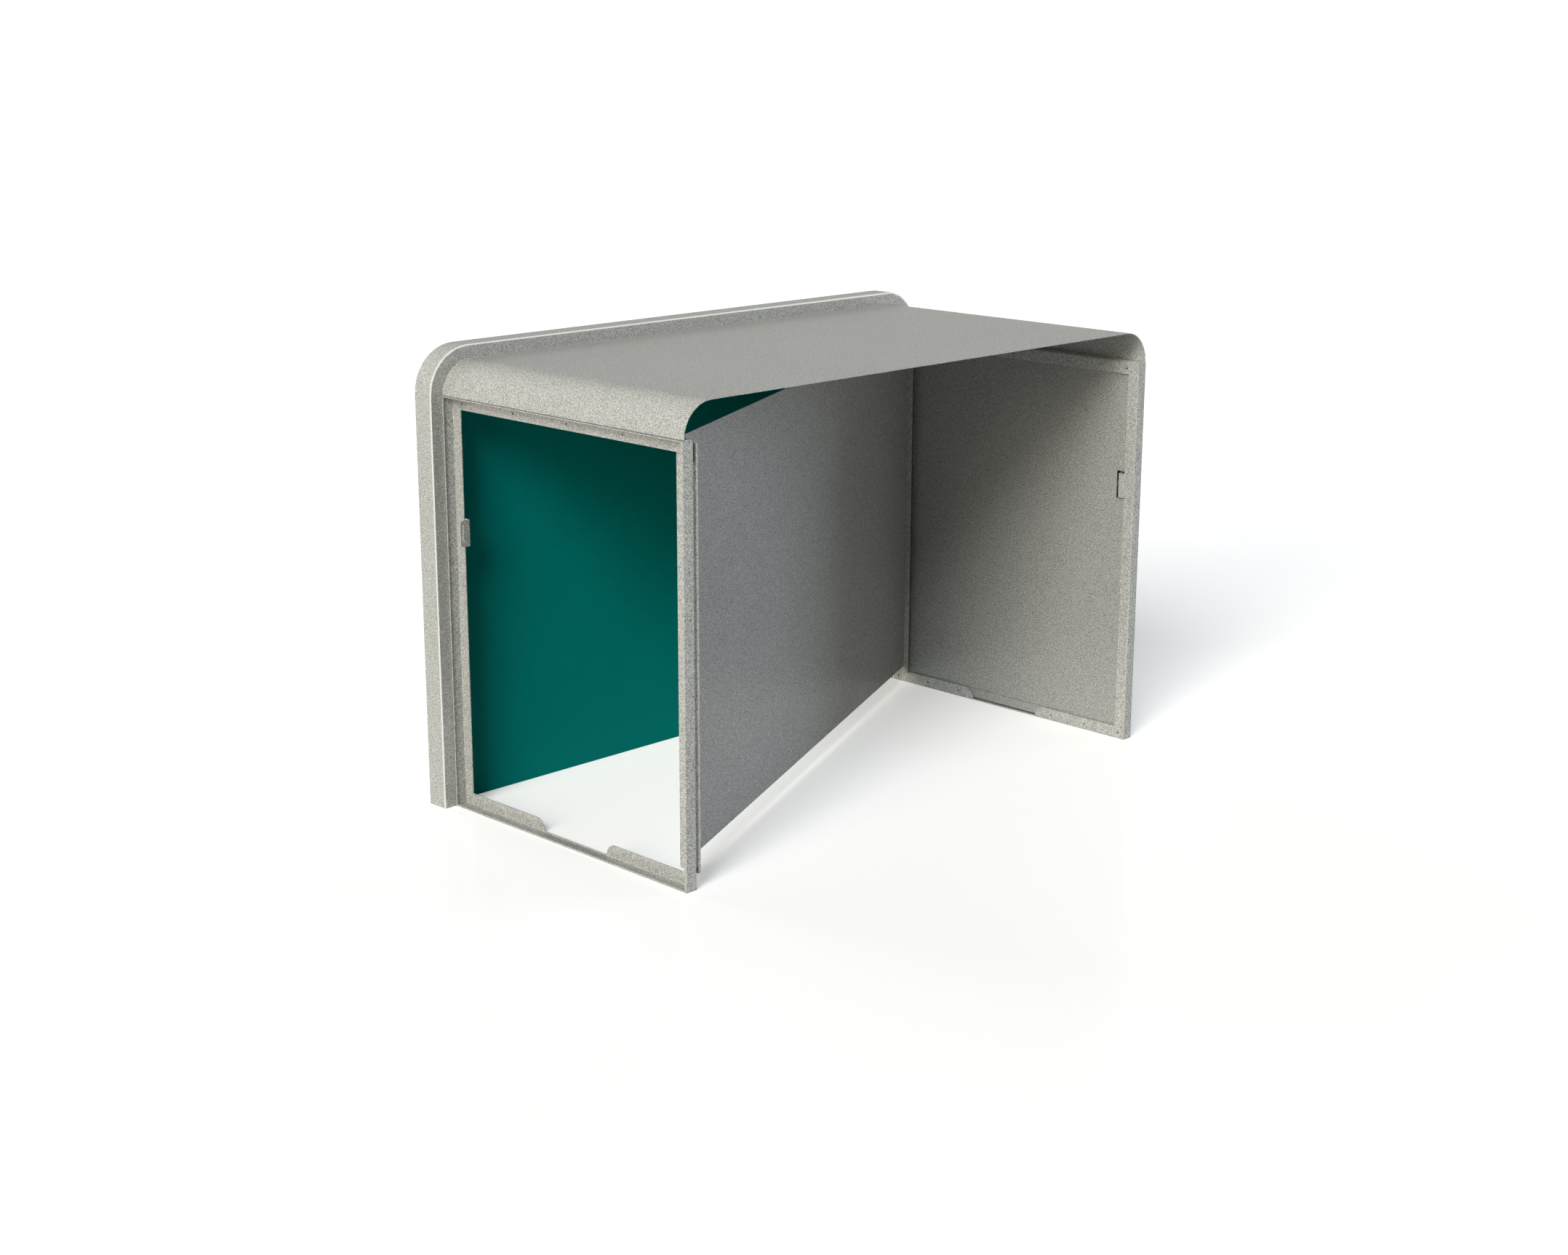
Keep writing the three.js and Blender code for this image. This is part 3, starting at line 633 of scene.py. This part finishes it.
@dataclass
class Workshop:
    """Holds the materials and the modifiers' node groups, and dresses pieces in them."""

    materials: dict[Finish, bpy.types.Material]
    bends: bpy.types.NodeTree
    edges: bpy.types.NodeTree

    @classmethod
    def stocked(cls) -> Workshop:
        """Builds each node group and material once.

        Returns:
            The workshop.
        """
        zinc = ZincSkin().tree()
        coat = SprayedCoat().tree()
        looks = {
            Galvanised(Finish.GALVANISED, colour=(0.440, 0.446, 0.424)): zinc,
            # A darker copy of the zinc: painted shade for the door's recess behind its frame.
            Galvanised(Finish.SHADED, colour=(0.352, 0.357, 0.340)): zinc,
            PowderCoat(Finish.TEAL, colour=(0.0, 0.207, 0.190)): coat,
            BrightMetal(Finish.PLATED, colour=(0.55, 0.56, 0.57), roughness=0.34): coat,
            BrightMetal(Finish.CAST, colour=(0.42, 0.43, 0.44), roughness=0.42): coat,
        }
        materials = {look.finish: look.material(group) for look, group in looks.items()}
        return cls(materials, BendSmoother().tree(), EdgeHighlightMarker().tree())

    def smooth(self, piece: bpy.types.Object, painted_highlight: bool = False) -> None:
        """Smooths a piece's bends, with the large flats keeping their own direction.

        Args:
            piece: The piece.
            painted_highlight: Whether its outer bends get a painted highlight.
        """
        piece.modifiers.new("bends", "NODES").node_group = self.bends
        if painted_highlight:
            piece.modifiers.new("edges", "NODES").node_group = self.edges
        piece.modifiers.new("flats", "WEIGHTED_NORMAL").keep_sharp = True

    def dress(self, finish: Finish, *names: str, painted_highlight: bool = False) -> None:
        """Gives CAD nodes their finish.

        Args:
            finish: The finish.
            *names: The nodes' names.
            painted_highlight: Whether their outer bends get a painted highlight.
        """
        for name in names:
            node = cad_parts[name]
            node.material_slots[0].material = self.materials[finish]
            self.smooth(node, painted_highlight)
            log.info("%s: %s, on the frame's own solid", name, finish.value)

    def add(self, piece: bpy.types.Object, finish: Finish, body: Body) -> None:
        """Finishes a new piece and fixes it to what carries it.

        Args:
            piece: The new piece, in place.
            finish: Its finish.
            body: The body that it moves with.
        """
        piece.data.materials.append(self.materials[finish])
        self.smooth(piece)
        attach(piece, body.value)
        log.info("%s: %s, new, on the %s", piece.name, finish.value, body.value)


def link(name: str, data: bpy.types.ID) -> bpy.types.Object:
    """Puts a new object into the scene, at the origin.

    Args:
        name: The object's name.
        data: Its mesh, lamp or camera.

    Returns:
        The object.
    """
    item = bpy.data.objects.new(name, data)
    bpy.context.scene.collection.objects.link(item)
    return item


def closed_rings(name: str, stacks: np.ndarray) -> bpy.types.Object:
    """Makes closed bodies, each a stack of rings with a pole in its first and in its last ring.

    Args:
        name: The piece's name.
        stacks: Points as bodies by rings by turns by 3, each ring anticlockwise seen from the
            last one.

    Returns:
        The piece, at the origin.
    """
    count, rings, turns, _ = stacks.shape
    poles = np.stack([stacks[:, 0].mean(axis=1), stacks[:, -1].mean(axis=1)], axis=1)
    points = np.concatenate([stacks.reshape(count, rings * turns, 3), poles], axis=1)
    here = np.arange(turns)
    after = (here + 1) % turns
    low = np.arange(rings - 1)[:, None] * turns
    sides = [low + here, low + after, low + after + turns, low + here + turns]
    quads = np.stack(sides, axis=-1).reshape(-1, 4)
    top = (rings - 1) * turns
    first = np.stack([after, here, np.full(turns, rings * turns)], axis=-1)
    last = np.stack([top + here, top + after, np.full(turns, rings * turns + 1)], axis=-1)
    start = np.arange(count)[:, None, None] * points.shape[1]
    parts = (quads, first, last)
    faces = [(start + part).reshape(-1, part.shape[1]).tolist() for part in parts]
    mesh = bpy.data.meshes.new(name)
    mesh.from_pydata(points.reshape(-1, 3).tolist(), [], sum(faces, []))
    return link(name, mesh)


@dataclass(frozen=True)
class ScrewHead:
    """A screw's crowned head with a hexagonal socket, its rim let into what it holds."""

    radius: float
    crown: float
    let_in: float
    socket: float = 1.5 * MILLIMETRE
    socket_depth: float = 1.3 * MILLIMETRE
    rings: int = 6
    turns: int = 36

    def stack(self) -> np.ndarray:
        """Works out the head's rings, with its axis along Z and the held face at height 0.

        The crown falls from its middle with the square of the distance over the head's radius.
        The socket is a hexagon: at each angle, half its width over the cosine of the angle from
        the middle of the nearest flat. The rings run from the round rim to that hexagon, then
        down to its floor.

        Returns:
            Points as rings by turns by 3.
        """
        angle = np.linspace(0.0, 2.0 * math.pi, self.turns, endpoint=False)
        flat = math.pi / 3.0
        hexagon = self.socket / np.cos((angle + flat / 2.0) % flat - flat / 2.0)
        rim = np.full((1, self.turns), self.radius)
        foot = np.full_like(rim, -self.let_in)
        share = np.linspace(0.0, 1.0, self.rings)[:, None]
        face = rim * (1.0 - share) + hexagon * share
        rise = self.crown * (1.0 - (face / self.radius) ** 2)
        radius = np.concatenate([rim, face, hexagon[None]])
        height = np.concatenate([foot, rise, rise[-1:] - self.socket_depth])
        return np.stack([radius * np.cos(angle), radius * np.sin(angle), height], axis=-1)

    def row(self, name: str, places: np.ndarray, outward: Triple) -> bpy.types.Object:
        """Sets heads at places on a face.

        Args:
            name: The piece's name.
            places: The heads' middles on the face, as count by 3.
            outward: The way the face looks, along Y.

        Returns:
            One piece with all the heads.
        """
        axis = np.array(outward)
        upright = np.array((0.0, 0.0, 1.0))
        turned = np.stack([upright, np.cross(axis, upright), axis])
        return closed_rings(name, places[:, None, None, :] + self.stack() @ turned)


@dataclass(frozen=True)
class DressedWeld:
    """A weld ground nearly flush: a low rounded bead over a seam that runs along Y."""

    width: float = 3.2 * MILLIMETRE
    rise: float = 0.16 * MILLIMETRE
    last_station: float = 0.99
    end_power: int = 8
    size_power: float = 0.25
    stations: int = 14
    turns: int = 12

    def row(self, name: str, seams: np.ndarray) -> bpy.types.Object:
        """Lays beads over seams.

        A bead's section is an ellipse as wide as the bead. Its size falls at both ends as the
        fourth root of one minus the eighth power of the way from the middle.

        Args:
            name: The piece's name.
            seams: The seams as count by 4: place along X, first and last place along Y, and
                place along Z.

        Returns:
            One piece with all the beads.
        """
        way = np.linspace(-self.last_station, self.last_station, self.stations)[None, :, None]
        size = (1.0 - way**self.end_power) ** self.size_power
        angle = np.linspace(0.0, 2.0 * math.pi, self.turns, endpoint=False)
        x, first, last, z = (seams[:, i, None, None] for i in range(4))
        across = x + size * self.rise * np.sin(angle)
        along = (first + last) / 2.0 + way * (last - first) / 2.0 + 0.0 * angle
        up = z + size * self.width / 2.0 * np.cos(angle)
        return closed_rings(name, np.stack([across, along, up], axis=-1))


@dataclass
class Shell:
    """The roof, the hoop with its infill, and the partition."""

    shop: Workshop
    strip_width: float = 15.0 * MILLIMETRE
    leg_screws: int = 5
    top_screws: int = 8
    foot_margin: float = 70.0 * MILLIMETRE
    corner_margin: float = 110.0 * MILLIMETRE
    screw: ScrewHead = ScrewHead(4.5 * MILLIMETRE, 2.4 * MILLIMETRE, 0.5 * MILLIMETRE)

    def build(self) -> None:
        """Dresses the shell's sheets and screws the infill's stop strip to its panel."""
        sheets = ("roof_sheet", "partition_sheet", "infill_stop_strip")
        self.shop.dress(Finish.GALVANISED, *sheets)
        # The hoop's outer bends get a painted highlight.
        self.shop.dress(Finish.GALVANISED, "side_hoop", painted_highlight=True)
        self.shop.dress(Finish.TEAL, "infill_panel")
        low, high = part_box("infill_stop_strip")
        middle = self.strip_width / 2.0
        corner = self.corner_margin
        rises = np.linspace(low.z + self.foot_margin, high.z - corner, self.leg_screws)
        runs = np.linspace(low.x + corner, high.x - corner, self.top_screws)
        left = np.stack([np.full_like(rises, low.x + middle), rises], axis=-1)
        right = np.stack([np.full_like(rises, high.x - middle), rises], axis=-1)
        top = np.stack([runs, np.full_like(runs, high.z - middle)], axis=-1)
        places = np.insert(np.concatenate([left, top, right]), 1, high.y, axis=1)
        piece = self.screw.row("stop_strip_screws", places, (0.0, 1.0, 0.0))
        self.shop.add(piece, Finish.PLATED, Body.LOCKER)


@dataclass
class EndFrame:
    """One end frame with its keeper and the plate that carries the partition."""

    shop: Workshop
    side: str
    sheet: float = 2.5 * MILLIMETRE
    seam_gap: float = 0.3 * MILLIMETRE
    seam_length: float = 35.0 * MILLIMETRE
    weld: DressedWeld = DressedWeld()

    def build(self) -> None:
        """Dresses the frame's folded sections and its fittings, and welds its corners."""
        parts = ("hinge_jamb", "lock_jamb", "sill", "head", "keeper", "end_plate", "spacer_bar")
        self.shop.dress(Finish.GALVANISED, *(f"{self.side}_{part}" for part in parts))
        head_low, head_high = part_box(f"{self.side}_head")
        _, sill_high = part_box(f"{self.side}_sill")
        inside = head_high.x if head_high.x < 0.0 else head_low.x
        outside = inside + math.copysign(self.sheet, inside)
        near = (head_low.y - self.seam_gap, head_low.y + self.seam_length)
        far = (head_high.y - self.seam_length, head_high.y + self.seam_gap)
        levels = (head_low.z - self.seam_gap / 2.0, sill_high.z + self.seam_gap / 2.0)
        faces = (inside, outside)
        seams = [(x, *ends, z) for x in faces for ends in (near, far) for z in levels]
        piece = self.weld.row(f"{self.side}_corner_welds", np.array(seams))
        self.shop.add(piece, Finish.GALVANISED, Body.LOCKER)


@dataclass
class Door:
    """The door with its hinges and its lock."""

    shop: Workshop
    leaf_gap: float = 1.5 * MILLIMETRE
    screw_inset: float = 9.0 * MILLIMETRE
    screw_margin: float = 14.0 * MILLIMETRE
    screws: int = 3
    screw: ScrewHead = ScrewHead(4.0 * MILLIMETRE, 0.3 * MILLIMETRE, 1.2 * MILLIMETRE)

    def fasten(self, hinge: str, leaf: str, way: float, body: Body) -> None:
        """Screws a hinge leaf on with countersunk screws in a column.

        Args:
            hinge: The hinge's name.
            leaf: The leaf's name.
            way: The way the leaf's face looks along Y, one or minus one.
            body: The body that the leaf moves with.
        """
        low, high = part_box(f"{hinge}_hinge_{leaf}")
        pin = (low.y + high.y) / 2.0
        margin = self.screw_margin
        rises = np.linspace(low.z + margin, high.z - margin, self.screws)
        across = np.full_like(rises, low.x + self.screw_inset)
        face = np.full_like(rises, pin - way * self.leaf_gap / 2.0)
        places = np.stack([across, face, rises], axis=-1)
        piece = self.screw.row(f"{hinge}_hinge_{leaf}_screws", places, (0.0, way, 0.0))
        self.shop.add(piece, Finish.PLATED, body)

    def build(self) -> None:
        """Dresses the door's sheets, hinges and lock."""
        # The door's inside sheets take the darker zinc, painted shade for their recess.
        self.shop.dress(Finish.SHADED, "door_inner_sheet", "door_closing_plate")
        self.shop.dress(Finish.GALVANISED, "door_tray")
        for hinge in ("lower", "upper"):
            parts = ("frame_leaf", "door_leaf", "pin")
            self.shop.dress(Finish.PLATED, *(f"{hinge}_hinge_{part}" for part in parts))
            self.fasten(hinge, "frame_leaf", -1.0, Body.LOCKER)
            self.fasten(hinge, "door_leaf", 1.0, Body.DOOR)
        lock = ("rose", "housing", "spindle", "core", "cam", "cam_nut")
        self.shop.dress(Finish.PLATED, *(f"lock_{part}" for part in lock))
        self.shop.dress(Finish.CAST, "lock_handle")


@dataclass(frozen=True)
class Lamp:
    """A lamp as broad and as far off as a lit wall.

    It stays out of the gloss, which shows the white room alone. Its angles are in degrees, and
    its azimuth turns from the left end towards the near side.
    """

    name: str
    azimuth: float
    elevation: float
    strength: float
    colour: Colour
    spread: float = 34.0

    def build(self) -> None:
        """Hangs the lamp, pointing at the locker."""
        data = bpy.data.lights.new(self.name, "SUN")
        data.energy = self.strength * math.pi
        data.color = self.colour
        data.angle = math.radians(self.spread)
        turn, rise = math.radians(self.azimuth), math.radians(self.elevation)
        level = math.cos(rise)
        towards = Vector((-math.cos(turn) * level, -math.sin(turn) * level, math.sin(rise)))
        lamp = link(self.name, data)
        lamp.visible_glossy = False
        lamp.rotation_mode = "QUATERNION"
        lamp.rotation_quaternion = towards.to_track_quat("Z", "Y")


@dataclass(frozen=True)
class Floor:
    """A wide pale floor that keeps the shadow, with a faint polish.

    To the camera and in gloss it is a lighter grey than to the light that it throws back on the
    locker, and a glow that only they see brings it up to white outside the shadow.
    """

    half: float = 150.0
    grey: float = 0.50
    seen_grey: float = 0.88
    glow: float = 0.34
    polish: float = 0.05
    polish_roughness: float = 0.12

    def build(self) -> None:
        """Lays the floor as one flat face."""
        half = self.half
        corners = [(-half, -half, 0.0), (half, -half, 0.0), (half, half, 0.0), (-half, half, 0.0)]
        mesh = bpy.data.meshes.new("floor")
        mesh.from_pydata(corners, [], [(0, 1, 2, 3)])
        mesh.materials.append(self.material())
        floor = link("floor", mesh)

    def material(self) -> bpy.types.Material:
        """Builds the floor's material.

        Returns:
            The material.
        """
        material = bpy.data.materials.new("studio_floor")
        material.use_nodes = True
        material.node_tree.nodes.clear()
        wiring = Wiring(material.node_tree)
        watched = wiring.watched()
        shade = wiring.math("MULTIPLY_ADD", watched, self.seen_grey - self.grey, self.grey)
        matt = wiring.fill(wiring.add("ShaderNodeBsdfDiffuse"), wiring.tinted(WHITE, shade))
        gloss = wiring.add("ShaderNodeBsdfGlossy")
        wiring.feed(gloss, Color=WHITE, Roughness=self.polish_roughness)
        mix = wiring.add("ShaderNodeMixShader")
        surface = wiring.fill(mix, self.polish, matt, gloss.outputs[0])
        strength = wiring.math("MULTIPLY", watched, self.glow)
        glow = wiring.fill(wiring.add("ShaderNodeEmission"), WHITE, strength)
        total = wiring.fill(wiring.add("ShaderNodeAddShader"), surface, glow)
        wiring.feed(wiring.add("ShaderNodeOutputMaterial"), Surface=total)
        return material


@dataclass(frozen=True)
class Studio:
    """A white room with a dim even sky.

    A high key and a low warm one stand off the left end, and cool fills off the front right,
    the back and the right end.
    """

    sky: float = 0.05
    sky_colour: Colour = (0.97, 0.99, 1.0)
    lamps: tuple[Lamp, ...] = (
        Lamp("key", 25.0, 36.0, 0.77, (0.98, 1.0, 0.99), 24.0),
        Lamp("low_key", 12.0, 16.0, 0.53, (1.0, 0.88, 0.72), 24.0),
        Lamp("front_right_fill", 150.0, 8.0, 0.385, (0.74, 0.82, 1.0)),
        Lamp("back_fill", 270.0, 25.0, 0.24, (0.90, 0.96, 1.0)),
        Lamp("right_fill", 200.0, 9.0, 0.24, (0.96, 0.98, 1.0)),
    )
    floor: Floor = Floor()

    def build(self) -> None:
        """Builds the sky, the lamps and the floor."""
        self.make_sky()
        for lamp in self.lamps:
            lamp.build()
        self.floor.build()

    def make_sky(self) -> None:
        """Lights the locker evenly, and shows as plain white to the camera and in gloss."""
        world = bpy.data.worlds.new("white_room")
        bpy.context.scene.world = world
        world.use_nodes = True
        world.node_tree.nodes.clear()
        wiring = Wiring(world.node_tree)
        watched = wiring.watched()
        light = wiring.fill(wiring.add("ShaderNodeBackground"), self.sky_colour, self.sky)
        white = wiring.fill(wiring.add("ShaderNodeBackground"), WHITE, 1.0)
        room = wiring.fill(wiring.add("ShaderNodeMixShader"), watched, light, white)
        wiring.feed(wiring.add("ShaderNodeOutputWorld"), Surface=room)


@dataclass(frozen=True)
class PhotoCamera:
    """The photograph's viewpoint."""

    place: Triple = (-5.07015, -4.96684, 2.34568)
    direction: Triple = (0.68539, 0.68133, -0.25695)
    roll: float = math.radians(0.12)
    lens: float = 54.03
    sensor: float = 36.0
    reach: float = 400.0

    def build(self) -> None:
        """Places the camera and makes it the scene's own."""
        data = bpy.data.cameras.new("photo_camera")
        data.lens = self.lens
        data.sensor_width = self.sensor
        data.clip_end = self.reach
        camera = link("photo_camera", data)
        turn = Vector(self.direction).to_track_quat("-Z", "Y").to_matrix().to_4x4()
        roll = Matrix.Rotation(self.roll, 4, "Z")
        camera.matrix_world = Matrix.Translation(self.place) @ turn @ roll
        bpy.context.scene.camera = camera


def main() -> None:
    """Builds the camera, the studio and each sub-assembly, in order."""
    logging.basicConfig(level=logging.INFO, format="%(message)s")
    bpy.context.scene.view_settings.view_transform = "Standard"
    PhotoCamera().build()
    Studio().build()
    shop = Workshop.stocked()
    Shell(shop).build()
    for side in ("left", "right"):
        EndFrame(shop, side).build()
    Door(shop).build()


if __name__ == "__main__":
    main()
